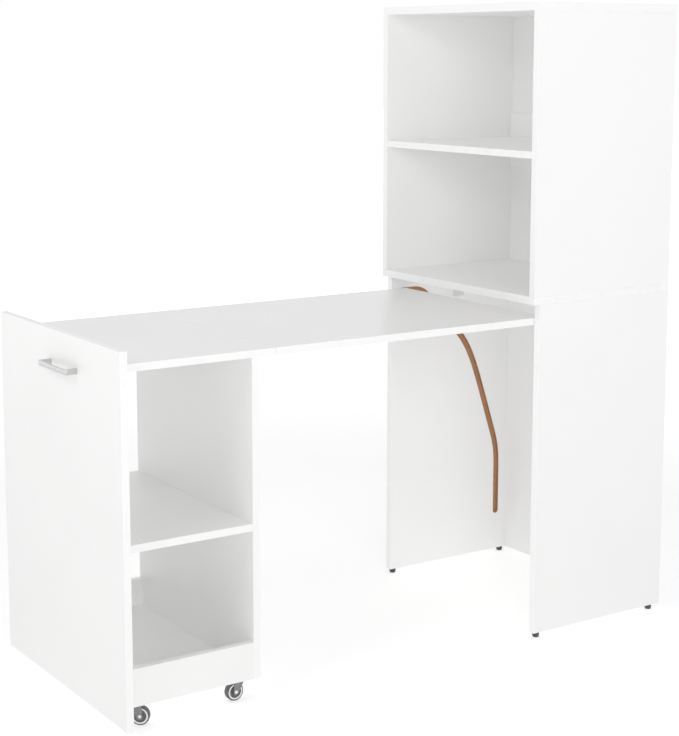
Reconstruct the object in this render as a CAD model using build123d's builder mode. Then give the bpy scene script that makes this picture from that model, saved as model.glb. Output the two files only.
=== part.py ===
# Sewing table: a shelf tower with a wheeled cart that rolls into its lower bay. The table top spans
# the two: its fixed half lies on the cart and its folding leaf hangs down behind the cart when closed.
# Millimetres. +X runs from the cart to the tower, +Y to the far side, +Z up. The origin is on the
# floor at the middle of the footprint, with the cart pulled right out.
import os
from math import cos, radians, sin

from build123d import *

os.makedirs("parts", exist_ok=True)

# ---- driving dimensions ----
tower_width = 600
tower_depth = 420
tower_height = 1470
carcass = 18                # tower boards
board_thick = 16            # cart boards, shelves and table top
ease = 0.5                  # rounding of the edge banding
foot_height = 12
unit_floor_z = 792          # underside of the upper unit
bay_setback = 17            # the bay's front edges stand back by the cart's front panel and a gap
slide_travel = 1037         # how far the cart pulls out
table_z = 759               # height of the table top
side_gap = 2                # between the table top and the bay's sides
cart_inset = 35             # the cart's body stands in from its front panel's ends
caster_height = 50
seam_x = 363                # seam of the table top, from the tower's front when the cart is in
leaf_length = 732
handle_reach = 28

total_length = handle_reach + slide_travel + tower_depth
front = total_length / 2 - tower_depth      # plane of the tower's front
rear = total_length / 2
half = tower_width / 2
inside = half - carcass                     # inner faces of the tower's sides
top_inside_z = tower_height - carcass
unit_z = unit_floor_z + carcass             # floor of the lower compartment
shelf_z = (unit_z + top_inside_z + board_thick) / 2     # top of the upper shelf
table_under = table_z - board_thick
cart_front = front - slide_travel           # outer face of the cart's front panel
cart_in = cart_front + board_thick
seam = cart_front + seam_x
cart_back = seam - 32                       # outer face of the cart's rear panel
cart_back_in = cart_back - board_thick
cart_half = half - cart_inset
table_half = inside - side_gap
cart_shelf_z = 388.5
rail_top_z = 130.5
cart_floor_z = caster_height + board_thick

# ---- fastenings: every one is a rod from a start point along a unit direction ----
dowel_r, dowel_face, dowel_end = 4, 12, 18  # radius, depth in the face, depth in the board's end
bolt_r, bolt_face, cam_r, cam_deep, cam_back = 3, 11, 7.5, 12, 24
screw_r, screw_long, screw_head_r, screw_head = 3.5, 50, 5, 4


def along(point, direction, distance):
    """The point moved along a direction."""
    return tuple(p + d * distance for p, d in zip(point, direction))


def dowel(point, into):
    """A dowel through a joint: point is on the joint's face, into points into the board's end."""
    return along(point, into, -dowel_face), into, dowel_face + dowel_end, dowel_r


def cam_pair(point, into, outwards):
    """A connecting bolt and its cam, which is let into the board's face on the outwards side."""
    bolt = along(point, into, -bolt_face), into, bolt_face + cam_back - cam_r - 0.4, bolt_r
    inner = along(along(point, into, cam_back), outwards, board_thick / 2 - cam_deep)
    return [bolt, (inner, outwards, cam_deep, cam_r)]


def confirmat(point, into):
    """A long screw whose head is let in flush: point is the head's face."""
    return [(point, into, screw_head, screw_head_r),
            (along(point, into, screw_head), into, screw_long - screw_head, screw_r)]


x_way, y_way, z_way = (1, 0, 0), (0, 1, 0), (0, 0, 1)
back_way, down_way = (-1, 0, 0), (0, 0, -1)
shelf_dowel_xs, side_fixing_xs, side_screw_xs = (60, 340), (110, 290), (50, 210, 370)   # from the front
bay_back_dowel_zs, bay_back_cam_zs = (60, 400, 740), (200, 600)
rail_inset, rail_dowel_inset = 3, 25
rail_x = rear - rail_inset - board_thick / 2        # middle of the upper unit's back rail
bay_back_x = rear - board_thick / 2
rail_low, rail_high = 1057, 1202

tower_dowels, tower_cams, tower_screws = [], [], []
for side in (-1, 1):
    inwards = (0, -side, 0)
    face, edge = side * inside, side * (half - carcass / 2)
    shelf_mid = shelf_z - board_thick / 2
    tower_dowels += [dowel((front + x, face, shelf_mid), inwards) for x in shelf_dowel_xs]
    tower_dowels += [dowel((rail_x, face, z), inwards)
                     for z in (rail_low + rail_dowel_inset, rail_high - rail_dowel_inset)]
    tower_dowels += [dowel((bay_back_x, face, z), inwards) for z in bay_back_dowel_zs]
    tower_dowels += [dowel((front + x, edge, unit_floor_z), down_way) for x in side_fixing_xs]
    for x in side_fixing_xs:
        tower_cams += cam_pair((front + x, face, shelf_mid), inwards, down_way)
    tower_cams += cam_pair((rail_x, face, (rail_low + rail_high) / 2), inwards, x_way)
    for z in bay_back_cam_zs:
        tower_cams += cam_pair((bay_back_x, face, z), inwards, x_way)
    for x in side_screw_xs:
        tower_screws += confirmat((front + x, edge, tower_height), down_way)
        tower_screws += confirmat((front + x, edge, unit_floor_z), z_way)

dowel_ys, top_dowel_ys, cam_ys = (-200, 0, 200), (-220, 0, 220), (-130, 130)
rail_dowel_zs, rail_cam_z = (68, 112), 90
cart_dowels, cart_cams = [], []
cart_shelf_mid = cart_shelf_z - board_thick / 2
cart_floor_mid = cart_floor_z - board_thick / 2
table_mid = table_z - board_thick / 2
rail_y = cart_half - board_thick / 2
for face, into in ((cart_in, x_way), (cart_back_in, back_way)):
    for z in (cart_shelf_mid, cart_floor_mid):
        cart_dowels += [dowel((face, y, z), into) for y in dowel_ys]
        for y in cam_ys:
            cart_cams += cam_pair((face, y, z), into, down_way)
    for side in (-1, 1):
        cart_dowels += [dowel((face, side * rail_y, z), into) for z in rail_dowel_zs]
        cart_cams += cam_pair((face, side * rail_y, rail_cam_z), into, (0, -side, 0))
cart_dowels += [dowel((cart_in, y, table_mid), x_way) for y in top_dowel_ys]
cart_dowels += [dowel((cart_back - board_thick / 2, y, table_under), down_way) for y in dowel_ys]
for y in cam_ys:
    cart_cams += cam_pair((cart_in, y, table_mid), x_way, down_way)
    cart_cams += cam_pair((cart_back - board_thick / 2, y, table_under), down_way, back_way)

# ---- handle, hinges, casters and brackets, named here because boards are drilled for them ----
handle_y, handle_z, handle_pitch = -35, 719, 128
handle_leg, handle_bar, handle_tall = 9, 5, 12
handle_screw_r, handle_screw_in = 2, 10
handle_screws_at = [handle_y - handle_pitch / 2, handle_y + handle_pitch / 2]
handle_rods = [((cart_in, y, handle_z), back_way, board_thick + handle_screw_in, handle_screw_r)
               for y in handle_screws_at]

hinge_ys = {"near": -180, "far": 180}
hinge_long, hinge_wide, hinge_plate, knuckle_r, hinge_pin_r = 60, 26, 1.5, 3, 1.3
knuckle_gap = 0.3                           # the knuckles stay clear of the boards
hinge_axis_z = table_under - knuckle_r - knuckle_gap
hinge_screw_r, hinge_screw_deep, hinge_head_r = 1.6, 11, 3.2
hinge_screw_x, hinge_screw_y = 17, 20       # from the seam, and from the hinge's middle


def hinge_screw_spots(direction):
    """Screw centres of both hinges on the table's underside, on one side of the seam."""
    return [(seam + direction * hinge_screw_x, y + shift)
            for y in hinge_ys.values() for shift in (-hinge_screw_y, hinge_screw_y)]


caster_inset_front, caster_inset_back, caster_inset_side = 35, 35, 33
caster_trail, wheel_r, wheel_wide = 12, 20, 15
plate_size, plate_thick, plate_pitch = 40, 1.6, 30
caster_xs = {"left": cart_in + caster_inset_front, "right": cart_back - caster_inset_back}
caster_y = cart_half - caster_inset_side
casters = {                                 # x, y and the way each wheel trails, in degrees
    "near_left": (caster_xs["left"], -caster_y, -38),
    "near_right": (caster_xs["right"], -caster_y, 182),
    "far_left": (caster_xs["left"], caster_y, 20),
    "far_right": (caster_xs["right"], caster_y, 165),
}
plate_screw_r, plate_screw_deep = 1.75, 12
plate_rods = [((x + dx * plate_pitch / 2, y + dy * plate_pitch / 2, caster_height), z_way,
               plate_screw_deep, plate_screw_r)
              for x, y, _ in casters.values() for dx in (-1, 1) for dy in (-1, 1)]

bracket_x, bracket_wide, bracket_thick, bracket_drop, bracket_arm = front + 233, 34, 1.2, 68, 30
bracket_screw_r, bracket_screw_deep, bracket_head_r = 2, 12, 3.6
bracket_screw_x, bracket_screw_drop, bracket_screw_arm = 9, 50, 20
bracket_rods = []
for side in (-1, 1):
    for dx in (-bracket_screw_x, bracket_screw_x):
        bracket_rods.append(((bracket_x + dx, side * inside, unit_floor_z - bracket_screw_drop), (0, side, 0),
                             bracket_screw_deep, bracket_screw_r))
        bracket_rods.append(((bracket_x + dx, side * (inside - bracket_screw_arm), unit_floor_z), z_way,
                             bracket_screw_deep, bracket_screw_r))

guide_pin_r, guide_disc_r, guide_disc, guide_deep, guide_inset = 4, 7, 1.5, 30, 10
guide_x = seam + leaf_length - guide_inset
guide_rods = [((guide_x, side * table_half, table_mid), (0, -side, 0), guide_deep, guide_pin_r)
              for side in (-1, 1)]

hinge_rods_cart = [((x, y, table_under), z_way, hinge_screw_deep, hinge_screw_r)
                   for x, y in hinge_screw_spots(-1)]
hinge_rods_leaf = [((x, y, table_under), z_way, hinge_screw_deep, hinge_screw_r)
                   for x, y in hinge_screw_spots(1)]

all_rods = (tower_dowels + tower_cams + tower_screws + cart_dowels + cart_cams + handle_rods + plate_rods
            + bracket_rods + guide_rods + hinge_rods_cart + hinge_rods_leaf)


# ---- helpers used inside the builder blocks ----
def rod(start, direction, length, radius, mode=Mode.ADD):
    """A round rod from its start point."""
    with Locations(Plane(origin=start, z_dir=direction)):
        Cylinder(radius, length, align=(Align.CENTER, Align.CENTER, Align.MIN), mode=mode)


def crosses(rod_data, limits):
    """Whether a rod's middle line passes inside a board's limits."""
    start, direction, length, _ = rod_data
    middle = along(start, direction, length / 2)
    reach = [abs(d) * length / 2 for d in direction]
    return all(m + r > low + 0.01 and m - r < high - 0.01
               for m, r, (low, high) in zip(middle, reach, limits))


def block(x, y, z, mode=Mode.ADD):
    """A box between limits along each axis."""
    with Locations((x[0], y[0], z[0])):
        Box(x[1] - x[0], y[1] - y[0], z[1] - z[0], align=(Align.MIN, Align.MIN, Align.MIN), mode=mode)


def board(x, y, z):
    """A board with eased edges, drilled for every fastening that crosses it."""
    block(x, y, z)
    fillet(edges(), ease)
    for data in all_rods:
        if crosses(data, (x, y, z)):
            rod(*data, mode=Mode.SUBTRACT)


def save(piece, name):
    """Labels a finished piece and writes it."""
    piece.part.label = name
    export_step(piece.part, f"parts/{name}.step")


# ---- upper unit ----
sheet_thick, slot_play, slot_deep, tongue_play, sheet_inset = 3, 0.1, 6, 0.5, 15
slot_low_x = rear - sheet_inset
slot_x = (slot_low_x, slot_low_x + sheet_thick + 2 * slot_play)     # the thin back sheets stand in it
sheet_x = (slot_low_x + slot_play, slot_low_x + slot_play + sheet_thick)
tongue = slot_deep - tongue_play
shelf_setback = 2
slot_span = (-inside - slot_deep, inside + slot_deep)

with BuildPart() as top_panel:
    board((front, rear), (-half, half), (top_inside_z, tower_height))
    block(slot_x, slot_span, (top_inside_z, top_inside_z + slot_deep), Mode.SUBTRACT)
save(top_panel, "top_panel")

with BuildPart() as upper_bottom_panel:
    board((front, rear), (-half, half), (unit_floor_z, unit_z))
    block(slot_x, slot_span, (unit_z - slot_deep, unit_z), Mode.SUBTRACT)
save(upper_bottom_panel, "upper_bottom_panel")

for side, name in ((-1, "near"), (1, "far")):
    ys = sorted((side * inside, side * half))
    slot_ys = sorted((side * inside, side * (inside + slot_deep)))
    with BuildPart() as upper_side:
        board((front, rear), ys, (unit_z, top_inside_z))
        block(slot_x, slot_ys, (unit_z, top_inside_z), Mode.SUBTRACT)
    save(upper_side, f"upper_side_{name}")

with BuildPart() as upper_shelf:
    board((front + shelf_setback, rail_x - board_thick / 2), (-inside, inside),
          (shelf_z - board_thick, shelf_z))
save(upper_shelf, "upper_shelf")

with BuildPart() as back_rail:
    board((rail_x - board_thick / 2, rail_x + board_thick / 2), (-inside, inside), (rail_low, rail_high))
    block(slot_x, (-inside, inside), (rail_low, rail_low + slot_deep), Mode.SUBTRACT)
    block(slot_x, (-inside, inside), (rail_high - slot_deep, rail_high), Mode.SUBTRACT)
save(back_rail, "back_rail")

for name, low, high in (("bottom", unit_z, rail_low), ("top", rail_high, top_inside_z)):
    with BuildPart() as back_sheet:
        block(sheet_x, (-inside - tongue, inside + tongue), (low - tongue, high + tongue))
    save(back_sheet, f"back_sheet_{name}")

# ---- lower bay, with the curved groove that guides the leaf's end ----
groove_wide, groove_deep = 18, 8
groove_start = (front + 52, table_mid)
groove_bend = (front + 88, table_mid)
groove_line = [(front + 150, 708), (front + 237, 624), (front + 306, 487), (front + 352, 349)]
groove_low = (front + 369, 246)
groove_end = (front + 369, 120)

for side, name in ((-1, "near"), (1, "far")):
    ys = sorted((side * inside, side * half))
    with BuildPart() as bay_side:
        board((front + bay_setback, rear), ys, (foot_height, unit_floor_z))
        with BuildSketch(Plane(origin=(0, side * inside, 0), x_dir=(1, 0, 0), z_dir=(0, -1, 0))):
            with BuildLine():
                Line(groove_start, groove_bend)
                Spline(groove_bend, *groove_line, groove_low, tangents=((1, 0), (0, -1)))
                Line(groove_low, groove_end)
            trace(line_width=groove_wide)
            with Locations(groove_start, groove_end):
                Circle(groove_wide / 2)
        extrude(amount=-side * groove_deep, mode=Mode.SUBTRACT)
    save(bay_side, f"bay_side_{name}")

with BuildPart() as bay_back_panel:
    board((rear - board_thick, rear), (-inside, inside), (foot_height, unit_floor_z))
save(bay_back_panel, "bay_back_panel")

foot_top_r, foot_base_r, foot_base_height, foot_step = 8.5, 7.5, 7, 8
foot_from_front, foot_from_rear = bay_setback + 14, 28
with BuildPart() as feet:
    for x in (front + foot_from_front, rear - foot_from_rear):
        for y in (-half + carcass / 2, half - carcass / 2):
            with BuildSketch(Plane.XZ.offset(-y)):
                with BuildLine():
                    Polyline((x, 0), (x + foot_base_r, 0), (x + foot_base_r, foot_base_height),
                             (x + foot_top_r, foot_step), (x + foot_top_r, foot_height), (x, foot_height),
                             close=True)
                make_face()
            revolve(axis=Axis((x, y, 0), (0, 0, 1)))
save(feet, "feet")

for side, name in ((-1, "near"), (1, "far")):
    wall = side * inside
    flange = sorted((wall, wall - side * bracket_thick))
    arm = sorted((wall, wall - side * bracket_arm))
    xs = (bracket_x - bracket_wide / 2, bracket_x + bracket_wide / 2)
    with BuildPart() as tie_bracket:
        block(xs, flange, (unit_floor_z - bracket_drop, unit_floor_z))
        block(xs, arm, (unit_floor_z - bracket_thick, unit_floor_z))
        for start, way, _, _ in bracket_rods:
            if start[1] * side > 0:
                rod(along(start, way, -bracket_thick), way, bracket_thick, bracket_head_r, Mode.SUBTRACT)
    save(tie_bracket, f"tie_bracket_{name}")

with BuildPart() as tie_bracket_screws:
    for start, way, deep, radius in bracket_rods:
        rod(start, way, deep, radius)
        rod(along(start, way, -bracket_thick), way, bracket_thick, bracket_head_r)
save(tie_bracket_screws, "tie_bracket_screws")

for name, rods in (("tower_dowels", tower_dowels), ("tower_cam_fittings", tower_cams),
                   ("carcass_screws", tower_screws), ("cart_dowels", cart_dowels),
                   ("cart_cam_fittings", cart_cams)):
    with BuildPart() as fittings:
        for data in rods:
            rod(*data)
    save(fittings, name)

# ---- cart ----
panel_floor_gap, panel_top_gap = 15, 3       # under the front panel, and over it when it closes the bay
leaf_gap = 0.25                             # each half of the table top stands this far from the seam
body_z = (caster_height, table_under)
between = (cart_in, cart_back_in)

with BuildPart() as cart_front_panel:
    board((cart_front, cart_in), (-half, half), (panel_floor_gap, unit_floor_z - panel_top_gap))
save(cart_front_panel, "cart_front_panel")

with BuildPart() as cart_top:
    board((cart_in, seam - leaf_gap), (-table_half, table_half), (table_under, table_z))
save(cart_top, "cart_top")

with BuildPart() as cart_rear_panel:
    board((cart_back_in, cart_back), (-cart_half, cart_half), body_z)
save(cart_rear_panel, "cart_rear_panel")

with BuildPart() as cart_shelf:
    board(between, (-cart_half, cart_half), (cart_shelf_z - board_thick, cart_shelf_z))
save(cart_shelf, "cart_shelf")

with BuildPart() as cart_floor:
    board(between, (-cart_half + board_thick, cart_half - board_thick), (caster_height, cart_floor_z))
save(cart_floor, "cart_floor")

for side, name in ((-1, "near"), (1, "far")):
    with BuildPart() as cart_rail:
        board(between, sorted((side * cart_half, side * (cart_half - board_thick))),
              (caster_height, rail_top_z))
    save(cart_rail, f"cart_rail_{name}")

# ---- handle: a flat bow with two legs ----
bow_half = (handle_pitch + handle_leg) / 2
bow_round, bow_inner_round, bow_ease = 9, 5, 1.2
bar_inner_x = cart_front - handle_reach + handle_bar
handle_head_r, handle_head, handle_head_round = 4, 2.2, 1.2
with BuildPart() as handle:
    with BuildSketch(Plane.XY.offset(handle_z - handle_tall / 2)):
        with Locations((cart_front - handle_reach / 2, handle_y)):
            Rectangle(handle_reach, 2 * bow_half)
        with Locations((cart_front - (handle_reach - handle_bar) / 2, handle_y)):
            Rectangle(handle_reach - handle_bar, handle_pitch - handle_leg, mode=Mode.SUBTRACT)
    extrude(amount=handle_tall)
    upright = edges().filter_by(Axis.Z)
    fillet(upright.group_by(Axis.X)[0], bow_round)
    inner_corners = edges().filter_by(Axis.Z).filter_by_position(Axis.X, bar_inner_x - 0.1, bar_inner_x + 0.1)
    fillet(inner_corners, bow_inner_round)
    for n in (-1, 0):                       # the top face's outline, then the bottom's
        fillet(faces().sort_by(Axis.Z)[n].outer_wire().edges().sort_by(Axis.X)[:-2], bow_ease)
    for start, way, length, radius in handle_rods:
        rod(start, way, length, radius, Mode.SUBTRACT)
save(handle, "handle")

with BuildPart() as handle_screws:
    for start, way, length, radius in handle_rods:
        rod(start, way, length, radius)
        rod(along(start, way, -handle_head), way, handle_head, handle_head_r)
    fillet(edges().filter_by(GeomType.CIRCLE).group_by(Axis.X)[-1], handle_head_round)
save(handle_screws, "handle_screws")

# ---- hinges on the underside of the table's seam ----
leaf_edge, knuckle_slot_x, knuckle_slot_z, knuckle_play, pin_proud = 1.2, 4, 7, 0.15, 0.8
pin_holes = {"fixed": hinge_pin_r, "moving": hinge_pin_r + 0.05}
for name, y in hinge_ys.items():
    low, high = y - hinge_long / 2, y + hinge_long / 2
    fifth = hinge_long / 5
    for kind, direction, spans in (("fixed", -1, (0, 2, 4)), ("moving", 1, (1, 3))):
        xs = sorted((seam + direction * leaf_edge, seam + direction * hinge_wide))
        with BuildPart() as hinge_leaf:
            block(xs, (low, high), (table_under - hinge_plate, table_under))
            for n in range(5):
                start = low + n * fifth
                if n in spans:
                    rod((seam, start + knuckle_play, hinge_axis_z), y_way, fifth - 2 * knuckle_play,
                        knuckle_r)
                else:
                    block((seam - knuckle_slot_x, seam + knuckle_slot_x), (start, start + fifth),
                          (table_under - knuckle_slot_z, table_under), Mode.SUBTRACT)
            rod((seam, low, hinge_axis_z), y_way, hinge_long, pin_holes[kind], Mode.SUBTRACT)
            for x, spot_y in hinge_screw_spots(direction):
                if low < spot_y < high:
                    rod((x, spot_y, table_under - hinge_plate), z_way, hinge_plate, hinge_head_r,
                        Mode.SUBTRACT)
        save(hinge_leaf, f"hinge_{kind}_leaf_{name}")
    with BuildPart() as hinge_pin:
        rod((seam, low - pin_proud, hinge_axis_z), y_way, hinge_long + 2 * pin_proud, hinge_pin_r)
    save(hinge_pin, f"hinge_pin_{name}")

for name, rods in (("cart", hinge_rods_cart), ("leaf", hinge_rods_leaf)):
    with BuildPart() as hinge_screws:
        for start, way, deep, radius in rods:
            rod(start, way, deep, radius)
            rod(along(start, way, -hinge_plate), way, hinge_plate, hinge_head_r)
    save(hinge_screws, f"hinge_screws_{name}")

# ---- folding leaf ----
with BuildPart() as leaf_board:
    board((seam + leaf_gap, seam + leaf_length), (-table_half, table_half), (table_under, table_z))
save(leaf_board, "leaf_board")

with BuildPart() as guide_pins:
    for start, way, deep, radius in guide_rods:
        rod(start, way, deep, radius)
        rod(along(start, way, -guide_disc), way, guide_disc, guide_disc_r)
save(guide_pins, "guide_pins")

# ---- casters ----
race_r, race_thick, king_r, crown_thick = 13, 2.8, 3.5, 1.8
plate_round, race_round, turning_gap = 4, 1.5, 0.4
crown_top = caster_height - plate_thick - race_thick - turning_gap
crown_long, crown_shift = 20, caster_trail / 2 - 1
leg_in, leg_thick, leg_back, leg_front, leg_head, leg_eye_r = 9, 1.8, -5, 15, 2, 4.6
axle_r, head_r, head_step = 2, 3.6, 1.4
king_gap, bore_gap = 0.3, 0.2
hub_r, hub_rim_in, rim_slope, hub_wide, web_wide, tyre_round = 17, 13, 0.6, 14, 9, 1.4
boss_half, boss_r, boss_root_r = 8.6, 5, 5.6

for name, (x, y, turn) in casters.items():
    fixed = Plane(origin=(x, y, 0))
    turned = Plane(origin=(x, y, 0), x_dir=(cos(radians(turn)), sin(radians(turn)), 0), z_dir=(0, 0, 1))
    axle = (caster_trail, 0, wheel_r)

    with BuildPart() as caster_plate:
        with BuildSketch(fixed.offset(caster_height - plate_thick)):
            RectangleRounded(plate_size, plate_size, plate_round)
            with GridLocations(plate_pitch, plate_pitch, 2, 2):
                Circle(plate_screw_r, mode=Mode.SUBTRACT)
        extrude(amount=plate_thick)
        with BuildSketch(fixed.offset(caster_height - plate_thick)):
            Circle(race_r)
        extrude(amount=-race_thick)
        fillet(edges().filter_by(GeomType.CIRCLE).group_by(Axis.Z)[0], race_round)
        with BuildSketch(fixed.offset(caster_height)):
            Circle(king_r + king_gap)
        extrude(amount=-(plate_thick + race_thick), mode=Mode.SUBTRACT)
    save(caster_plate, f"caster_plate_{name}")

    with BuildPart() as caster_fork:
        with BuildSketch(turned.offset(crown_top)):
            Circle(race_r)
            with Locations((crown_shift, 0)):
                Rectangle(crown_long, 2 * (leg_in + leg_thick))
        extrude(amount=-crown_thick)
        for side in (-1, 1):
            leg_plane = Plane(origin=turned.from_local_coords((0, side * leg_in, 0)),
                              x_dir=turned.x_dir, z_dir=turned.y_dir * -1)
            with BuildSketch(leg_plane):
                with BuildLine():
                    Polyline((leg_back, crown_top - leg_head), (leg_back, crown_top),
                             (leg_front, crown_top), (leg_front, crown_top - leg_head), close=True)
                    CenterArc((caster_trail, wheel_r), leg_eye_r, 0, 360)
                make_hull()
            extrude(amount=-side * leg_thick)
        with BuildSketch(turned.offset(crown_top - crown_thick)):
            Circle(king_r)
        extrude(amount=caster_height - turning_gap - crown_top + crown_thick)
        rod(turned.from_local_coords((caster_trail, -wheel_r, wheel_r)), turned.y_dir, 2 * wheel_r, axle_r,
            Mode.SUBTRACT)
    save(caster_fork, f"caster_fork_{name}")

    wheel_plane = Plane(origin=turned.from_local_coords(axle), x_dir=turned.x_dir, z_dir=turned.y_dir)
    spin = Axis(wheel_plane.origin, wheel_plane.z_dir)
    section = Plane(origin=wheel_plane.origin, x_dir=wheel_plane.z_dir, z_dir=turned.x_dir)
    with BuildPart() as caster_axle:
        head_at = leg_in + leg_thick
        head_end, head_face_r = head_at + head_step, head_r - head_step
        with BuildSketch(section):
            with BuildLine():
                Polyline((-head_end, 0), (-head_end, head_face_r), (-head_at, head_r), (-head_at, axle_r),
                         (head_at, axle_r), (head_at, head_r), (head_end, head_face_r), (head_end, 0),
                         close=True)
            make_face()
        revolve(axis=spin)
    save(caster_axle, f"caster_axle_{name}")

    one_half = [(boss_half, axle_r + bore_gap), (boss_half, boss_r), (web_wide / 2, boss_root_r),
                (web_wide / 2, hub_rim_in), (hub_wide / 2, hub_rim_in + rim_slope), (hub_wide / 2, hub_r)]
    other_half = [(-across, outwards) for across, outwards in reversed(one_half)]
    with BuildPart() as caster_hub:
        with BuildSketch(section):
            with BuildLine():
                Polyline(*one_half, *other_half, close=True)
            make_face()
        revolve(axis=spin)
    save(caster_hub, f"caster_hub_{name}")

    with BuildPart() as caster_tyre:
        with BuildSketch(section):
            with Locations((0, (hub_r + wheel_r) / 2)):
                Rectangle(wheel_wide, wheel_r - hub_r)
            fillet(vertices().group_by(Axis.Y)[-1], tyre_round)
        revolve(axis=spin)
    save(caster_tyre, f"caster_tyre_{name}")

plate_head_r, plate_head = 3.3, 1.6
with BuildPart() as caster_plate_screws:
    for start, way, deep, radius in plate_rods:
        rod(along(start, way, -plate_thick), way, plate_thick + deep, radius)
        rod(along(start, way, -plate_thick - plate_head), way, plate_head, plate_head_r)
save(caster_plate_screws, "caster_plate_screws")
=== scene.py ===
from math import cos, pi, radians, sin

import bpy
from mathutils import Matrix, Vector


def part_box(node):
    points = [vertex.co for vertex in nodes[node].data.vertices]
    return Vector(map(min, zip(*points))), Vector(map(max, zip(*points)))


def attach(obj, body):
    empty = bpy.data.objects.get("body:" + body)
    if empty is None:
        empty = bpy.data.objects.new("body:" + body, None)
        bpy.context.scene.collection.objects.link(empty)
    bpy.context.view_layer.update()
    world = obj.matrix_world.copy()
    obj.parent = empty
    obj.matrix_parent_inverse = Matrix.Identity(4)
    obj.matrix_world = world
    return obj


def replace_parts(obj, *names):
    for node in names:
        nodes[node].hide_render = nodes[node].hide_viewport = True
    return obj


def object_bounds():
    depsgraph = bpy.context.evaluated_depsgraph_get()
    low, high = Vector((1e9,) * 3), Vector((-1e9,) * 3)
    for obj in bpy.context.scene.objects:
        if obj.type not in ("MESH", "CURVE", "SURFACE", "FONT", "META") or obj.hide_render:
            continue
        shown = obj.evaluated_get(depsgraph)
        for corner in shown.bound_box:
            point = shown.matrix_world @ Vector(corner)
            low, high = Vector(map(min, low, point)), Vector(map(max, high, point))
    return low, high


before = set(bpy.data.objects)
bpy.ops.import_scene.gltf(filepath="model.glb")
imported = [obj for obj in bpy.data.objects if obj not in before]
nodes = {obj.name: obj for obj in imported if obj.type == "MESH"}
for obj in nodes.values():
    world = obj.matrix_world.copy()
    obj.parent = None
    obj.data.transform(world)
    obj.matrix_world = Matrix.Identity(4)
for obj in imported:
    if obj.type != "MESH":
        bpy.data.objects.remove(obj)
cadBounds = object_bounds()
mm = 0.001
print("frame loaded,", len(nodes), "nodes")


# Shader maths: a Number wraps a socket, and an expression on Numbers adds the Math nodes it needs
class Number:
    def __init__(self, finish, socket):
        self.finish, self.socket = finish, socket

    def maths(self, operation, *values):
        return self.finish.node("Math", {"operation": operation}, dict(enumerate(values)))

    def __add__(self, other):
        return self.maths("ADD", self, other)

    def __radd__(self, other):
        return self.maths("ADD", other, self)

    def __sub__(self, other):
        return self.maths("SUBTRACT", self, other)

    def __rsub__(self, other):
        return self.maths("SUBTRACT", other, self)

    def __mul__(self, other):
        return self.maths("MULTIPLY", self, other)

    def __rmul__(self, other):
        return self.maths("MULTIPLY", other, self)

    def __truediv__(self, other):
        return self.maths("DIVIDE", self, other)

    def __gt__(self, other):
        return self.maths("GREATER_THAN", self, other)

    def __lt__(self, other):
        return self.maths("LESS_THAN", self, other)

    def __abs__(self):
        return self.maths("ABSOLUTE", self)

    def least(self, other):
        return self.maths("MINIMUM", self, other)

    def clamped(self):
        return self.maths("MAXIMUM", self.maths("MINIMUM", self, 1.0), 0.0)


class Finish:
    def __init__(self, name, colour, rough, fixed=None):
        self.material = bpy.data.materials.new(name)
        self.material.use_nodes = True
        self.tree = self.material.node_tree
        self.shader = self.tree.nodes["Principled BSDF"]
        self.material.diffuse_color = (*colour, 1)
        self.put("Base Color", colour)
        self.put("Roughness", rough)
        for socket, value in (fixed or {}).items():
            self.put(socket, value)
        self.spot = self.node("TexCoord", output="Object")

    def feed(self, socket, value):
        if isinstance(value, Number):
            self.tree.links.new(value.socket, socket)
        elif isinstance(value, tuple) and len(value) == 3 and socket.type == "RGBA":
            socket.default_value = (*value, 1)
        else:
            socket.default_value = value

    def put(self, socket, value):
        self.feed(self.shader.inputs[socket], value)

    def node(self, kind, settings=None, sockets=None, output=0):
        made = self.tree.nodes.new("ShaderNode" + kind)
        for setting, value in (settings or {}).items():
            setattr(made, setting, value)
        for socket, value in (sockets or {}).items():
            self.feed(made.inputs[socket], value)
        return Number(self, made.outputs[output])

    def noise(self, scale, detail=2.0, stretch=None):
        spot = self.spot
        if stretch:
            spot = self.node("Mapping", {}, {"Vector": spot, "Scale": stretch})
        return self.node("TexNoise", {}, {"Vector": spot, "Scale": scale, "Detail": detail})

    def split(self):
        made = self.tree.nodes.new("ShaderNodeSeparateXYZ")
        self.feed(made.inputs[0], self.spot)
        return [Number(self, out) for out in made.outputs]

    def mix(self, share, first, second):
        return self.node("Mix", {"data_type": "RGBA"}, {0: share, 6: first, 7: second}, output=2)

    def bump(self, height, strength, distance):
        sockets = {"Strength": strength, "Distance": distance, "Height": height}
        self.put("Normal", self.node("Bump", {}, sockets))


# Melamine-faced boards: a fine pearl grain on the faces, smooth banding on the edges, a glue line between
melamine = {
    # The cart's and the table's whites are the tower's white made a little darker as painted shade; the
    # table's lower roughness and pearl are its own glossier finish.
    "tower": {"colour": (0.90, 0.90, 0.895), "rough": 0.36, "pearl": 0.10},
    "cart": {"colour": (0.88, 0.88, 0.873), "rough": 0.36, "pearl": 0.10},
    "table": {"colour": (0.86, 0.856, 0.853), "rough": 0.24, "pearl": 0.06},
    "bandColour": (0.91, 0.91, 0.91),
    "glueColour": (0.60, 0.59, 0.57),
    "scuffColour": (0.70, 0.69, 0.67),
    "bandRough": 0.27,
    "bandThick": 0.9 * mm,
    "glueWide": 0.22 * mm,
    "scuffReach": 5 * mm,
    "grainScale": 850,
    "grainDeep": 0.12 * mm,
    "waveScale": 5,
}
rawBoard = {
    "colour": (0.45, 0.195, 0.080),
    "dark": (0.20, 0.075, 0.028),
    "rough": 0.82,
    "fibreScale": 260,
    "fibreStretch": (1.0, 3.0, 0.28),
    "clear": 20 * mm,       # the groove stays this far inside the board's outline
    "skin": 0.35 * mm,      # thickness of the white face
}


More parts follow.
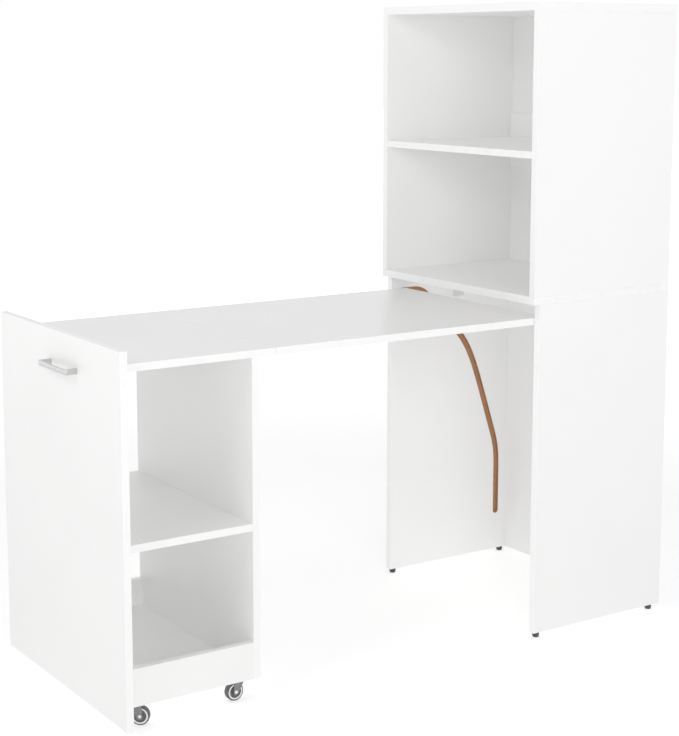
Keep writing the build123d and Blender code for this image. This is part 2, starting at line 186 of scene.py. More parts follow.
def boardFinish(name, look, grooved=False):
    low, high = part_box(name)
    size = high - low
    across = min(range(3), key=lambda n: size[n])
    finish = Finish("melamine." + name, look["colour"], look["rough"])
    axes = finish.split()
    inward = [size[n] / 2 - abs(axes[n] - (low[n] + high[n]) / 2) for n in range(3)]
    first, second = [inward[n] for n in range(3) if n != across]
    margin = first.least(second)

    band = margin < melamine["bandThick"]
    glue = (1 - abs(margin - melamine["bandThick"]) / melamine["glueWide"]).clamped()
    cloud = finish.noise(melamine["waveScale"], 3.0)
    fine = finish.noise(melamine["grainScale"], 1.0)
    patches = ((finish.noise(38, 4.0) - 0.56) * 6).clamped()
    scuff = (1 - margin / melamine["scuffReach"]).clamped() * patches * 0.16

    shaded = tuple(value * 0.965 for value in look["colour"])
    colour = finish.mix((cloud - 0.3) * 1.4, look["colour"], shaded)
    colour = finish.mix(band * 0.8, colour, melamine["bandColour"])
    colour = finish.mix(glue * 0.3, colour, melamine["glueColour"])
    colour = finish.mix(scuff, colour, melamine["scuffColour"])
    rough = look["rough"] + (cloud - 0.5) * 0.10 + (fine - 0.5) * 0.05
    rough = rough + band * (melamine["bandRough"] - look["rough"])
    height = fine * (1 - band) - glue * 0.6
    if grooved:
        raw, rawColour, fibre = rawGroove(finish, axes, low, high)
        colour = finish.mix(raw, colour, rawColour)
        rough = rough * (1 - raw) + raw * rawBoard["rough"]
        height = height + raw * fibre * 6
    finish.put("Base Color", colour)
    finish.put("Roughness", rough)
    finish.bump(height, look["pearl"], melamine["grainDeep"])
    return finish.material


def rawGroove(finish, axes, low, high):
    clear = rawBoard["clear"]
    across = abs(axes[1])
    inner, outer = sorted((abs(low.y), abs(high.y)))
    raw = (across > inner + rawBoard["skin"]) * (across < outer - rawBoard["skin"])
    for n in (0, 2):
        raw = raw * (axes[n] > low[n] + clear) * (axes[n] < high[n] - clear)
    fibre = finish.noise(rawBoard["fibreScale"], 5.0, rawBoard["fibreStretch"])
    mottle = finish.noise(34, 3.0)
    burnt = (0.95 - fibre * 0.75 - mottle * 0.55).clamped()
    return raw, finish.mix(burnt, rawBoard["colour"], rawBoard["dark"]), fibre


def assign(name, material):
    slots = nodes[name].data.materials
    slots.clear()
    slots.append(material)


# The kind also picks each board's white: the cart's and the table's boards get the darker, painted-shade
# whites.
boardKinds = {
    "tower": ["top_panel", "upper_side_near", "upper_side_far", "upper_bottom_panel", "upper_shelf",
              "back_rail", "bay_side_near", "bay_side_far", "bay_back_panel"],
    "cart": ["cart_front_panel", "cart_rear_panel", "cart_shelf", "cart_floor", "cart_rail_near",
             "cart_rail_far"],
    "table": ["cart_top", "leaf_board"],
}
for kind, names in boardKinds.items():
    for name in names:
        assign(name, boardFinish(name, melamine[kind], grooved=name.startswith("bay_side")))
print("boards finished")

# The thin back sheets: lacquered fibreboard with a faint pressed mesh
backSheet = {"colour": (0.88, 0.88, 0.872), "shade": (0.84, 0.838, 0.828), "rough": 0.48}


def sheetFinish():
    finish = Finish("lacqueredSheet", backSheet["colour"], backSheet["rough"])
    cloud, fine = finish.noise(9, 3.0), finish.noise(700, 2.0)
    finish.put("Base Color", finish.mix((cloud - 0.35) * 1.3, backSheet["colour"], backSheet["shade"]))
    finish.put("Roughness", backSheet["rough"] + (fine - 0.5) * 0.12)
    finish.bump(fine, 0.12, 0.2 * mm)
    return finish.material


lacquered = sheetFinish()
for name in ("back_sheet_top", "back_sheet_bottom"):
    assign(name, lacquered)

# Metals: colour, a darker tone for the patches between, roughness, and how strongly the surface is marked
metals = {
    "chrome": {"colour": (0.55, 0.55, 0.55), "dull": (0.42, 0.42, 0.42), "rough": 0.11, "marks": 0.03},
    "zinc": {"colour": (0.63, 0.64, 0.65), "dull": (0.46, 0.47, 0.48), "rough": 0.34, "marks": 0.12},
    "pressed": {"colour": (0.19, 0.19, 0.19), "dull": (0.11, 0.11, 0.11), "rough": 0.38, "marks": 0.10},
    "bright": {"colour": (0.80, 0.80, 0.80), "dull": (0.60, 0.60, 0.60), "rough": 0.20, "marks": 0.05},
}


def metalFinish(name):
    look = metals[name]
    finish = Finish(name + "Metal", look["colour"], look["rough"], {"Metallic": 1.0})
    patches = finish.node("TexVoronoi", {}, {"Vector": finish.spot, "Scale": 260.0}, output=0)
    cloud, streak = finish.noise(60, 3.0), finish.noise(420, 3.0, (1.0, 1.0, 0.12))
    tarnish = (cloud * 0.7 + patches * 0.4 - 0.2) * 1.1
    finish.put("Base Color", finish.mix(tarnish, look["colour"], look["dull"]))
    finish.put("Roughness", look["rough"] + (streak - 0.5) * look["rough"] * 0.6)
    finish.bump(streak, look["marks"], 0.1 * mm)
    return finish.material


# Plastics and rubber: moulded, with a fine satin grain
plastics = {
    "tyreRubber": {"colour": (0.030, 0.030, 0.031), "dull": (0.06, 0.06, 0.06), "rough": 0.52, "grain": 0.25},
    "hubPlastic": {"colour": (0.060, 0.060, 0.061), "dull": (0.10, 0.10, 0.10), "rough": 0.36, "grain": 0.10},
    # This colour paints the outer ring of each hub near-white, between the dark tyre and the dark hub.
    "paleRim": {"colour": (0.78, 0.78, 0.78), "dull": (0.66, 0.66, 0.66), "rough": 0.2, "grain": 0.06},
    "capPlastic": {"colour": (0.88, 0.88, 0.875), "dull": (0.85, 0.85, 0.84), "rough": 0.38, "grain": 0.05},
    "footPlastic": {"colour": (0.010, 0.010, 0.010), "dull": (0.025, 0.025, 0.025), "rough": 0.42,
                    "grain": 0.15},
}


def plasticFinish(name):
    look = plastics[name]
    finish = Finish(name, look["colour"], look["rough"])
    dust, fine = finish.noise(85, 4.0), finish.noise(1400, 2.0)
    finish.put("Base Color", finish.mix((dust - 0.42) * 1.8, look["colour"], look["dull"]))
    finish.put("Roughness", look["rough"] + (dust - 0.5) * 0.22)
    finish.bump(fine, look["grain"], 0.12 * mm)
    return finish.material


def beechFinish():
    finish = Finish("beechDowel", (0.52, 0.33, 0.18), 0.6)
    grain = finish.noise(240, 4.0, (0.15, 1.0, 1.0))
    finish.put("Base Color", finish.mix(grain, (0.60, 0.40, 0.23), (0.38, 0.22, 0.11)))
    finish.bump(grain, 0.2, 0.2 * mm)
    return finish.material


metal = {name: metalFinish(name) for name in metals}
plastic = {name: plasticFinish(name) for name in plastics}
beech = beechFinish()
for name in ("tower_dowels", "cart_dowels"):
    assign(name, beech)
for name in ("hinge_fixed_leaf_near", "hinge_fixed_leaf_far", "hinge_moving_leaf_near",
             "hinge_moving_leaf_far", "tower_cam_fittings", "cart_cam_fittings"):
    assign(name, metal["zinc"])
for name in ("hinge_pin_near", "hinge_pin_far", "guide_pins", "tie_bracket_near", "tie_bracket_far"):
    assign(name, metal["bright"])
print("finishes made")


# Modelling helpers
def deselect():
    bpy.ops.object.select_all(action="DESELECT")


def begin(name):
    piece = bpy.context.object
    piece.name = piece.data.name = name
    return piece


def pickFaces(piece, test):
    bpy.ops.object.mode_set(mode="EDIT")
    bpy.ops.mesh.select_mode(type="FACE")
    bpy.ops.mesh.select_all(action="DESELECT")
    bpy.ops.object.mode_set(mode="OBJECT")
    for face in piece.data.polygons:
        face.select = test(face.center, face.normal)
    bpy.ops.object.mode_set(mode="EDIT")


def pickEdges(piece, test):
    bpy.ops.object.mode_set(mode="EDIT")
    bpy.ops.mesh.select_mode(type="EDGE")
    bpy.ops.mesh.select_all(action="DESELECT")
    bpy.ops.object.mode_set(mode="OBJECT")
    points = piece.data.vertices
    for edge in piece.data.edges:
        edge.select = test(*(points[n].co for n in edge.vertices))
    bpy.ops.object.mode_set(mode="EDIT")


def leave():
    bpy.ops.object.mode_set(mode="OBJECT")


def ease(piece, width, segments=2, angle=35):
    modifier = piece.modifiers.new("ease", "BEVEL")
    modifier.width, modifier.segments = width, segments
    modifier.limit_method, modifier.angle_limit = "ANGLE", radians(angle)
    bpy.context.view_layer.objects.active = piece
    bpy.ops.object.modifier_apply(modifier=modifier.name)


def cut(piece, cutter):
    modifier = piece.modifiers.new("cut", "BOOLEAN")
    modifier.object, modifier.operation, modifier.solver = cutter, "DIFFERENCE", "EXACT"
    bpy.context.view_layer.objects.active = piece
    bpy.ops.object.modifier_apply(modifier=modifier.name)
    bpy.data.objects.remove(cutter)


def tidyFaces(piece, angle=35):
    deselect()
    piece.select_set(True)
    bpy.context.view_layer.objects.active = piece
    bpy.ops.object.mode_set(mode="EDIT")
    bpy.ops.mesh.select_all(action="SELECT")
    bpy.ops.mesh.remove_doubles(threshold=0.000005)
    bpy.ops.mesh.normals_make_consistent(inside=False)
    leave()
    bpy.ops.object.shade_smooth_by_angle(angle=radians(angle))


def joined(parts, name):
    deselect()
    for part in parts:
        part.select_set(True)
    bpy.context.view_layer.objects.active = parts[0]
    if len(parts) > 1:
        bpy.ops.object.join()
    return begin(name)


# A turned shape along Z: a cylinder whose caps are inset and raised step by step
def turned(name, radius, low, high, topSteps=(), baseSteps=(), sides=40):
    deselect()
    bpy.ops.mesh.primitive_cylinder_add(vertices=sides, radius=radius, depth=high - low,
                                        location=(0, 0, (low + high) / 2))
    bpy.ops.object.transform_apply(location=True, rotation=True, scale=True)
    piece = begin(name)
    for steps, way in ((topSteps, 1), (baseSteps, -1)):
        pickFaces(piece, lambda centre, normal: normal.z * way > 0.9)
        for inset, raised in steps:
            bpy.ops.mesh.inset(thickness=inset, depth=raised)
        leave()
    return piece


def bar(size, centre=(0, 0, 0)):
    deselect()
    bpy.ops.mesh.primitive_cube_add(size=1, location=centre, scale=size)
    bpy.ops.object.transform_apply(location=True, rotation=True, scale=True)
    return bpy.context.object


# Copies of a model at each place; every copy has its own mesh, and its origin stays at zero
def placed(model, matrix, name):
    copy = model.copy()
    copy.data = model.data.copy()
    bpy.context.scene.collection.objects.link(copy)
    copy.data.transform(matrix)
    copy.name = copy.data.name = name
    return copy


def turnTo(point, way):
    rotation = Vector((0, 0, 1)).rotation_difference(Vector(way)).to_matrix().to_4x4()
    return Matrix.Translation(point) @ rotation


def discard(*models):
    for model in models:
        bpy.data.objects.remove(model)


def dress(piece, body, slot, *materials):
    piece.data.materials.clear()
    for material in materials:
        piece.data.materials.append(material)
    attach(piece, body)
    return piece


# The separate solids of a CAD node, as the lowest and highest corner of each
def solids(name):
    mesh = nodes[name].data
    owner = {}

    def root(key):
        while owner[key] != key:
            owner[key] = owner[owner[key]]
            key = owner[key]
        return key

    keys = [tuple(round(value, 6) for value in vertex.co) for vertex in mesh.vertices]
    for key in keys:
        owner.setdefault(key, key)
    for face in mesh.polygons:
        first = root(keys[face.vertices[0]])
        for n in face.vertices[1:]:
            owner[root(keys[n])] = first
    groups = {}
    for key in owner:
        groups.setdefault(root(key), []).append(key)
    boxes = []
    for points in groups.values():
        low, high = (Vector(pick(p[n] for p in points) for n in range(3)) for pick in (min, max))
        boxes.append((low, high))
    return sorted(boxes, key=lambda corners: tuple(corners[0]))


# Screws: a domed head with a cross recess over a shank; z = 0 is the head's seat, +Z the head's side
def screwModel(headRadius, headTall, shankRadius, shankLong, recess, socket="cross"):
    dome = [(headRadius * 0.10, headTall * 0.30), (headRadius * 0.25, headTall * 0.22)]
    if socket == "hex":
        dome = [(headRadius * 0.06, headTall * 0.04)]
    straight = headTall - sum(raised for _, raised in dome)
    head = turned("screw", headRadius, 0, straight, dome,
                  [(headRadius - shankRadius, 0), (0.01 * mm, shankLong - shankRadius),
                   (shankRadius * 0.72, shankRadius)], sides=28)
    if socket == "hex":
        bpy.ops.mesh.primitive_cylinder_add(vertices=6, radius=recess, depth=headTall * 1.3,
                                            location=(0, 0, headTall))
        cut(head, bpy.context.object)
    else:
        for span, wide in ((2, 0.42), (0.42, 2)):
            cut(head, bar((recess * span, recess * wide, headTall * 1.3), (0, 0, headTall)))
    tidyFaces(head, 30)
    return head


def fitScrews(node, body, slot, headWay, headTall, shankRadius, material, socket="cross"):
    copies, models = [], {}
    for low, high in solids(node):
        size = high - low
        way = headWay(low, high)
        along = max(range(3), key=lambda n: abs(way[n]))
        spans = [size[n] for n in range(3) if n != along]
        radius, longest = min(spans) / 2, size[along]
        key = round(radius, 5), round(longest, 4)
        if key not in models:
            models[key] = screwModel(radius, headTall, shankRadius, longest - headTall, radius * 0.55, socket)
        tip = [high[n] if n == along and way[along] > 0 else low[n] if n == along
               else (low[n] + high[n]) / 2 for n in range(3)]
        seat = Vector(tip) - Vector(way) * headTall
        copies.append(placed(models[key], turnTo(seat, way), "screw"))
    discard(*models.values())
    piece = dress(joined(copies, "".join(node.title().split("_"))), body, slot, material)
    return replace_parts(piece, node)


down, up, out = (0, 0, -1), (0, 0, 1), (1, 0, 0)


def bracketWay(low, high):
    size = high - low
    if size.z > size.y:
        return down
    return (0, 1 if high.y < 0 else -1, 0)


def carcassWay(low, high):
    return up if high.z > cadBounds[1][2] - 1 * mm else down


def panelWay(low, high):
    return out


def downWay(low, high):
    return down


# Each set of screws: its body, the way its heads face, head height, shank radius and the drive in the head
screwSets = {
    "handle_screws": ("cart", panelWay, 2.2 * mm, 2 * mm, "cross"),
    "caster_plate_screws": ("cart", downWay, 1.6 * mm, 1.75 * mm, "cross"),
    "hinge_screws_cart": ("cart", downWay, 1.5 * mm, 1.6 * mm, "cross"),
    "hinge_screws_leaf": ("leaf", downWay, 1.5 * mm, 1.6 * mm, "cross"),
    "tie_bracket_screws": ("tower", bracketWay, 1.2 * mm, 2 * mm, "cross"),
    "carcass_screws": ("tower", carcassWay, 4 * mm, 3.5 * mm, "hex"),
}
for node, (body, headWay, headTall, shankRadius, socket) in screwSets.items():
    fitScrews(node, body, "screw_steel", headWay, headTall, shankRadius, metal["zinc"], socket)
print("screws fitted")

# Handle: a flat bow on two legs, with softened corners
handle = {"leg": 9 * mm, "bar": 5 * mm, "outerRound": 5 * mm, "innerRound": 3.5 * mm, "ease": 1.9 * mm,
          "foot": 1.1, "hair": 0.05 * mm}


def makeHandle():
    low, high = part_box("handle")
    size, middle = high - low, (low + high) / 2
    inner = low.x + handle["bar"]
    bow = bar((handle["bar"], size.y, size.z), (low.x + handle["bar"] / 2, middle.y, middle.z))
    begin("handleBow")
    legEdges = (low.y + handle["leg"], high.y - handle["leg"])
    for y in legEdges:
        bpy.ops.object.mode_set(mode="EDIT")
        bpy.ops.mesh.select_all(action="SELECT")
        bpy.ops.mesh.bisect(plane_co=(0, y, 0), plane_no=(0, 1, 0))
        leave()
    pickFaces(bow, lambda centre, normal: normal.x > 0.9 and not legEdges[0] < centre.y < legEdges[1])
    bpy.ops.mesh.extrude_region_move(TRANSFORM_OT_translate={"value": (high.x - inner, 0, 0)})
    bpy.ops.mesh.select_all(action="SELECT")
    bpy.ops.mesh.dissolve_limited(angle_limit=radians(1))
    leave()
    hair = handle["hair"]

    def upright(x, inside):
        def test(a, b):
            standing = abs(a.x - b.x) < hair and abs(a.y - b.y) < hair and abs(a.x - x) < hair
            return standing and inside == (legEdges[0] - hair < a.y < legEdges[1] + hair)
        return test

    pickEdges(bow, upright(low.x, False))
    bpy.ops.mesh.bevel(offset=handle["outerRound"], segments=9, affect="EDGES")
    pickEdges(bow, upright(inner, True))
    bpy.ops.mesh.bevel(offset=handle["innerRound"], segments=7, affect="EDGES")
    leave()
    rims = (low.z, high.z)
    pickEdges(bow, lambda a, b: abs(a.z - b.z) < hair and min(abs(a.z - z) for z in rims) < hair
              and min(a.x, b.x) < high.x - hair)
    bpy.ops.mesh.bevel(offset=handle["ease"], segments=4, affect="EDGES")
    leave()
    tidyFaces(bow, 40)
    return bow


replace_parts(dress(makeHandle(), "cart", "chrome", metal["chrome"]), "handle")
print("handle made")

# Feet: a moulded glide with a waist and a rounded sole
foot = {"neck": 0.6 * mm, "sole": 1.4 * mm, "step": 4.2 * mm}


def makeFeet():
    boxes = solids("feet")
    low, high = boxes[0]
    radius, tall = (high.x - low.x) / 2, high.z - low.z
    model = turned("foot", radius, foot["step"], tall, (),
                   [(0.9 * mm, 0.2 * mm), (0.01 * mm, foot["step"] - foot["sole"] - 0.2 * mm),
                    (0.5 * mm, foot["sole"] * 0.6), (1.1 * mm, foot["sole"] * 0.4)], sides=48)
    ease(model, 0.35 * mm, 2, 25)
    tidyFaces(model, 40)
    copies = [placed(model, Matrix.Translation(((a.x + b.x) / 2, (a.y + b.y) / 2, a.z)), "foot")
              for a, b in boxes]
    discard(model)
    return joined(copies, "glides")


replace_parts(dress(makeFeet(), "tower", "black_plastic", plastic["footPlastic"]), "feet")
print("feet made")

# Casters: tyre, hub, fork and plate are modelled once about their own axes, then set at each corner
caster = {
    "tyreInner": 17 * mm, "shoulder": 2.4 * mm,
    "hubWide": 14 * mm, "hubBore": 2.2 * mm, "bossRadius": 5 * mm, "ribs": 6, "ribTall": 1.3 * mm,
    "rimWidth": 3.2 * mm, "rimDrop": 2.4 * mm, "rimEdge": 0.4 * mm, "rimSlope": 0.5 * mm, "webStep": 0.8 * mm,
    "bossStep": 0.6 * mm, "bossRise": 0.5 * mm, "wall": 0.01 * mm,
    "legIn": 9 * mm, "legThick": 1.8 * mm, "eye": 6.5 * mm, "crown": (-8 * mm, 16 * mm),
    "cheek": 2 * mm, "eyeTurns": (25, 50, 72), "crownRound": 1.6 * mm, "legEase": 0.35 * mm,
    "kingRadius": 3.4 * mm,
    "plateThick": 1.6 * mm, "plateRound": 4 * mm, "plateEase": 0.25 * mm,
    "raceRadius": 13 * mm, "raceLap": 1 * mm, "raceGap": 0.4 * mm,
    "screwPitch": 30 * mm, "screwHole": 1.85 * mm,
    "rivetHead": 3.6 * mm, "rivetTall": 1.4 * mm, "rivetShank": 2 * mm,
}
cornerNames = ("near_left", "near_right", "far_left", "far_right")
plumb = Vector(up)


def makeTyre(radius, wide):
    tyre = turned("tyre", radius, -wide / 2, wide / 2, sides=80)
    pickFaces(tyre, lambda centre, normal: abs(normal.z) > 0.9)
    bpy.ops.mesh.inset(thickness=radius - caster["tyreInner"], depth=0)
    bpy.ops.mesh.delete(type="FACE")
    bpy.ops.mesh.select_mode(type="EDGE")
    bpy.ops.mesh.select_non_manifold()
    bpy.ops.mesh.bridge_edge_loops()
    leave()
    hair = 0.1 * mm
    pickEdges(tyre, lambda a, b: all(abs(p.xy.length - radius) < hair for p in (a, b))
              and abs(a.z - b.z) < hair)
    bpy.ops.mesh.bevel(offset=caster["shoulder"], segments=5, affect="EDGES")
    leave()
    tidyFaces(tyre, 40)
    return tyre


def makeHub(radius, wide, bossHalf, boreRadius):
    web = wide / 2 - caster["rimDrop"]
    webWide = (radius - caster["rimWidth"] - caster["rimSlope"] - caster["webStep"]
               - caster["bossRadius"] - caster["bossStep"])
    steps = [(caster["rimEdge"], 0), (caster["rimWidth"] - caster["rimEdge"], 0),
             (caster["rimSlope"], -caster["rimDrop"]), (caster["webStep"], 0), (webWide, 0),
             (caster["bossStep"], caster["bossRise"]), (caster["wall"], bossHalf - web - caster["bossRise"]),
             (caster["bossRadius"] - boreRadius - caster["wall"], 0)]
    hub = turned("hub", radius, -wide / 2, wide / 2, steps, steps, sides=72)
    ribEvery = 2 * pi / caster["ribs"]
    inner, outer = caster["bossRadius"] + 0.7 * mm, radius - caster["rimWidth"] - 1.4 * mm

    def onRib(centre, normal):
        turn = Vector(centre.xy).angle_signed(Vector((1, 0))) % ribEvery
        return abs(normal.z) > 0.9 and inner < centre.xy.length < outer and turn < ribEvery / 6

    pickFaces(hub, onRib)
    bpy.ops.mesh.extrude_region_shrink_fatten(TRANSFORM_OT_shrink_fatten={"value": caster["ribTall"]})
    pickFaces(hub, lambda centre, normal: abs(normal.z) > 0.9 and centre.xy.length < 0.1 * mm)
    bpy.ops.mesh.delete(type="FACE")
    bpy.ops.mesh.select_mode(type="EDGE")
    bpy.ops.mesh.select_non_manifold()
    bpy.ops.mesh.bridge_edge_loops()
    leave()
    tidyFaces(hub, 32)
    return hub


# Faces on the hub's outer ring take the near-white rim colour.
def paintRim(hub, radius):
    for face in hub.data.polygons:
        rimFace = radius - caster["rimWidth"] - 0.2 * mm < face.center.xy.length
        face.material_index = 1 if rimFace else 0


def makeFork(crownTop, axleAt, kingTop):
    low, high = caster["crown"]
    reach = caster["legIn"] + caster["legThick"] / 2
    deselect()
    bpy.ops.mesh.primitive_plane_add(size=1, location=((low + high) / 2, 0, 0))
    bpy.ops.transform.resize(value=(high - low, 2 * reach, 1))
    bpy.ops.object.transform_apply(location=True, rotation=True, scale=True)
    fork = begin("fork")
    hair = 0.05 * mm
    trail, level = axleAt.x, axleAt.z - crownTop
    eye = caster["eye"]
    widths = [(-caster["cheek"], high - low, (low + high) / 2), (level, 2 * eye, trail)]
    for turn in caster["eyeTurns"]:
        widths.append((level - eye * sin(radians(turn)), 2 * eye * cos(radians(turn)), trail))
    for side in (-1, 1):
        pickEdges(fork, lambda a, b: abs(a.y - side * reach) < hair and abs(b.y - side * reach) < hair)
        depth, wide, centre = 0, high - low, (low + high) / 2
        for newDepth, newWide, newCentre in widths:
            move = (newCentre - centre, 0, newDepth - depth)
            bpy.ops.mesh.extrude_region_move(TRANSFORM_OT_translate={"value": move})
            bpy.ops.transform.resize(value=(newWide / wide, 1, 1),
                                     center_override=(newCentre, side * reach, newDepth))
            depth, wide, centre = newDepth, newWide, newCentre
        leave()
    pickEdges(fork, lambda a, b: abs(a.z) < hair and abs(b.z) < hair and abs(a.y - b.y) < hair
              and abs(abs(a.y) - reach) < hair)
    bpy.ops.mesh.bevel(offset=caster["crownRound"], segments=4, affect="EDGES")
    leave()
    sheet = fork.modifiers.new("sheet", "SOLIDIFY")
    sheet.thickness, sheet.offset = caster["legThick"], 0
    bpy.ops.object.modifier_apply(modifier=sheet.name)
    ease(fork, caster["legEase"], 2, 40)
    crown = turned("crown", caster["raceRadius"], -caster["legThick"] / 2, caster["legThick"] / 2,
                   [(3 * mm, 0), (2 * mm, 0.5 * mm)], [(4 * mm, 0), (1.5 * mm, -0.4 * mm)], sides=56)
    king = turned("king", caster["kingRadius"], 0, kingTop - crownTop, [(0.8 * mm, 0.0)], sides=32)
    fork = joined([fork, crown, king], "fork")
    fork.data.transform(Matrix.Translation((0, 0, crownTop - caster["legThick"] / 2)))
    tidyFaces(fork, 40)
    return fork


def makePlate(size, thick, raceThick, top):
    plate = bar((size, size, thick), (0, 0, top - thick / 2))
    begin("plate")
    hair = 0.05 * mm
    pickEdges(plate, lambda a, b: abs(a.x - b.x) < hair and abs(a.y - b.y) < hair)
    bpy.ops.mesh.bevel(offset=caster["plateRound"], segments=7, affect="EDGES")
    leave()
    ease(plate, caster["plateEase"], 2, 60)
    pitch = caster["screwPitch"] / 2
    holes = []
    for dx in (-pitch, pitch):
        for dy in (-pitch, pitch):
            bpy.ops.mesh.primitive_cylinder_add(vertices=28, radius=caster["screwHole"], depth=3 * thick,
                                                location=(dx, dy, top - thick / 2))
            holes.append(bpy.context.object)
    cut(plate, joined(holes, "holes"))
    race = turned("race", caster["raceRadius"], top - thick - raceThick + caster["raceLap"], top - thick,
                  (), [(0.5 * mm, 0.5 * mm), (0.7 * mm, 0.5 * mm), (8.1 * mm, 0)], sides=64)
    plate = joined([plate, race], "plate")
    tidyFaces(plate, 35)
    return plate


def makeRivet(halfLong, headRadius, headTall, shank):
    steps = [(headRadius * 0.18, headTall * 0.55), (headRadius * 0.22, headTall * 0.33),
             (headRadius * 0.22, headTall * 0.12)]
    inner = halfLong - headTall
    past = inner + 0.2 * mm                 # the two halves overlap a little in the middle
    left = turned("rivet", headRadius, inner, inner + 0.05 * mm, steps,
                  [(headRadius - shank, 0), (0.01 * mm, past)], sides=36)
    right = placed(left, Matrix.Rotation(pi, 4, "X"), "rivetHead")
    rivet = joined([left, right], "rivet")
    tidyFaces(rivet, 30)
    return rivet


def sizeAlong(name, way):
    points = [vertex.co.dot(way) for vertex in nodes[name].data.vertices]
    return max(points) - min(points)


def fitCasters():
    models = None
    for corner in cornerNames:
        plateLow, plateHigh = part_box("caster_plate_" + corner)
        axleLow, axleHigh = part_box("caster_axle_" + corner)
        forkLow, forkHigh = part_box("caster_fork_" + corner)
        pivot = (plateLow + plateHigh) / 2
        centre = (axleLow + axleHigh) / 2
        trail = Vector((centre.x - pivot.x, centre.y - pivot.y, 0))
        forward = trail.normalized()
        axle = Vector((-forward.y, forward.x, 0))
        if models is None:
            wide = sizeAlong("caster_tyre_" + corner, axle)
            radius = sizeAlong("caster_tyre_" + corner, plumb) / 2
            bossHalf = sizeAlong("caster_hub_" + corner, axle) / 2
            rivetHalf = sizeAlong("caster_axle_" + corner, axle) / 2
            thick = caster["plateThick"]
            raceThick = plateHigh.z - plateLow.z - thick
            crownTop = plateLow.z - caster["raceGap"]
            models = {
                "tyre": makeTyre(radius, wide),
                "hub": makeHub(caster["tyreInner"], caster["hubWide"], bossHalf, caster["hubBore"]),
                "fork": makeFork(crownTop, Vector((trail.length, 0, centre.z)), forkHigh.z),
                "plate": makePlate(plateHigh.x - plateLow.x, thick, raceThick, plateHigh.z),
                "rivet": makeRivet(rivetHalf, caster["rivetHead"], caster["rivetTall"], caster["rivetShank"]),
            }
            paintRim(models["hub"], caster["tyreInner"])
        turn = Matrix((forward, axle, plumb)).transposed().to_4x4()
        about = Matrix.Translation((pivot.x, pivot.y, 0))
        wheelPlace = Matrix.Translation(centre) @ turn @ Matrix.Rotation(-pi / 2, 4, "X")
        forkPlace = about @ turn
        name = "".join(word.title() for word in corner.split("_"))
        hubFinish = [plastic["hubPlastic"], plastic["paleRim"]]
        fits = [("tyre", wheelPlace, "wheel_", "tyre", [plastic["tyreRubber"]]),
                ("hub", wheelPlace, "wheel_", "wheel_plastic", hubFinish),
                ("rivet", wheelPlace, "fork_", "rivet_steel", [metal["bright"]]),
                ("fork", forkPlace, "fork_", "pressed_steel", [metal["pressed"]]),
                ("plate", about, None, "pressed_steel", [metal["zinc"]])]
        for part, place, body, slot, materials in fits:
            piece = placed(models[part], place, part + name)
            rims = [face.material_index for face in piece.data.polygons]
            dress(piece, body + corner if body else "cart", slot, *materials)
            piece.data.polygons.foreach_set("material_index", rims)
            node = {"rivet": "caster_axle_"}.get(part, "caster_" + part + "_") + corner
            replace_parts(piece, node)
    discard(*models.values())


fitCasters()
print("casters fitted")

# Cover caps: a thin domed disc over each cam that faces inward or down, in the boards' white
cap = {"camRadius": 7.5 * mm, "lip": 1.0 * mm, "proud": 0.5 * mm, "skirt": 0.1 * mm, "slack": 0.5 * mm}


def capWay(size, middle, body):
    along = min(range(3), key=lambda n: size[n])
    if along == 2:
        return Vector((0, 0, -1))
    if along == 1:
        return Vector((0, -middle.y, 0)).normalized()
    return Vector((-1, 0, 0)) if body == "cart" else None       # at the tower's back they stay bare


def makeCaps(node, body, slot):
    model = turned("cap", cap["camRadius"] + cap["lip"], -cap["skirt"], cap["proud"] * 0.5,
                   [(0.5 * mm, cap["proud"] * 0.3), (2 * mm, cap["proud"] * 0.2)], sides=48)
    tidyFaces(model, 30)
    copies = []
    for low, high in solids(node):
        size, middle = high - low, (low + high) / 2
        spans = sorted(size)
        isCam = (abs(spans[1] - 2 * cap["camRadius"]) <= cap["slack"]
                 and abs(spans[2] - spans[1]) <= cap["slack"])
        way = capWay(size, middle, body)
        if isCam and way is not None:
            face = middle + way * spans[0] / 2
            copies.append(placed(model, turnTo(face, way), "cap"))
    discard(model)
    dress(joined(copies, body + "CamCaps"), body, slot, plastic["capPlastic"])


makeCaps("tower_cam_fittings", "tower", "tower_board")
makeCaps("cart_cam_fittings", "cart", "cart_board")
print("cam caps fitted")

# Studio: a pale floor, a white surround, a broad key light and a soft fill
studio = {
    "eye": (-2.0853, -3.1349, 1.3600),
    "pitch": 81.35, "roll": -0.05, "heading": -33.52,
    "lens": 80.6, "shiftUp": -0.0887,
    "surround": (1.0, 1.0, 1.0), "seenStrength": 1.0, "ambientStrength": 0.47,
    "floorColour": (0.82, 0.82, 0.82), "floorGlow": 0.42, "farGlow": 0.95, "glowFrom": 1.6, "glowOver": 5.0,
    "keyAt": (-2.0, -4.6, 1.9), "keySize": 2.4, "keyPower": 58,
    "leftAt": (-3.4, -0.9, 2.9), "leftSize": 1.6, "leftPower": 24,
    "topAt": (0.1, 0.0, 6.0), "topSize": 5.0, "topPower": 34,
    "aim": (0.1, 0, 0.7),
}


def addCamera():
    camera = bpy.data.objects.new("camera", bpy.data.cameras.new("camera"))
    bpy.context.scene.collection.objects.link(camera)
    camera.location = studio["eye"]
    camera.rotation_euler = [radians(studio[name]) for name in ("pitch", "roll", "heading")]
    camera.data.lens = studio["lens"]
    camera.data.shift_y = studio["shiftUp"]
    camera.data.clip_end = 60
    bpy.context.scene.camera = camera


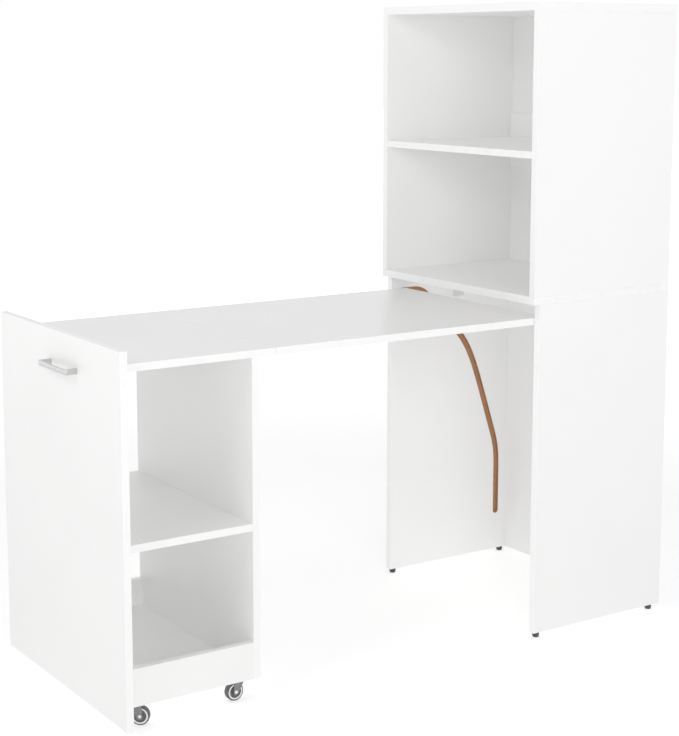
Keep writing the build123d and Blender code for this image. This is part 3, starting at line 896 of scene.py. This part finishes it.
def addLight(name):
    light = bpy.data.lights.new(name, "AREA")
    light.shape, light.size, light.energy = "DISK", studio[name + "Size"], studio[name + "Power"]
    lamp = bpy.data.objects.new(name, light)
    bpy.context.scene.collection.objects.link(lamp)
    lamp.location = studio[name + "At"]
    way = Vector(studio["aim"]) - lamp.location
    lamp.rotation_euler = way.to_track_quat("-Z", "Y").to_euler()


def addFloor():
    deselect()
    bpy.ops.mesh.primitive_plane_add(size=60, location=(0, 0, 0))
    floor = begin("floor")
    finish = Finish("paleFloor", studio["floorColour"], 0.9)
    finish.put("Base Color", finish.mix(finish.noise(0.7, 2.0), studio["floorColour"],
                                        tuple(v * 0.99 for v in studio["floorColour"])))
    finish.put("Emission Color", (1.0, 1.0, 1.0))
    away = finish.node("VectorMath", {"operation": "LENGTH"}, {0: finish.spot}, output="Value")
    far = ((away - studio["glowFrom"]) / studio["glowOver"]).clamped()
    finish.put("Emission Strength", studio["floorGlow"] + far * (studio["farGlow"] - studio["floorGlow"]))
    floor.data.materials.append(finish.material)


def addSurround():
    world = bpy.data.worlds.new("surround")
    world.use_nodes = True
    sky = world.node_tree.nodes["Background"]
    sky.inputs["Color"].default_value = (*studio["surround"], 1)
    rays = world.node_tree.nodes.new("ShaderNodeLightPath")
    seen = world.node_tree.nodes.new("ShaderNodeMath")
    seen.operation = "MAXIMUM"
    world.node_tree.links.new(rays.outputs["Is Camera Ray"], seen.inputs[0])
    world.node_tree.links.new(rays.outputs["Is Glossy Ray"], seen.inputs[1])
    strength = world.node_tree.nodes.new("ShaderNodeMath")
    strength.operation = "MULTIPLY_ADD"
    world.node_tree.links.new(seen.outputs[0], strength.inputs[0])
    strength.inputs[1].default_value = studio["seenStrength"] - studio["ambientStrength"]
    strength.inputs[2].default_value = studio["ambientStrength"]
    world.node_tree.links.new(strength.outputs[0], sky.inputs["Strength"])
    bpy.context.scene.world = world


addCamera()
addLight("key")
addLight("left")
addLight("top")
addFloor()
addSurround()
bpy.context.scene.view_settings.view_transform = "Standard"
bpy.context.scene.view_settings.gamma = 1.3         # soft, even light inside the open boxes
bpy.context.scene.cycles.diffuse_bounces = 12       # white boards pass light on many times
bpy.context.scene.cycles.max_bounces = 16
print("studio set")
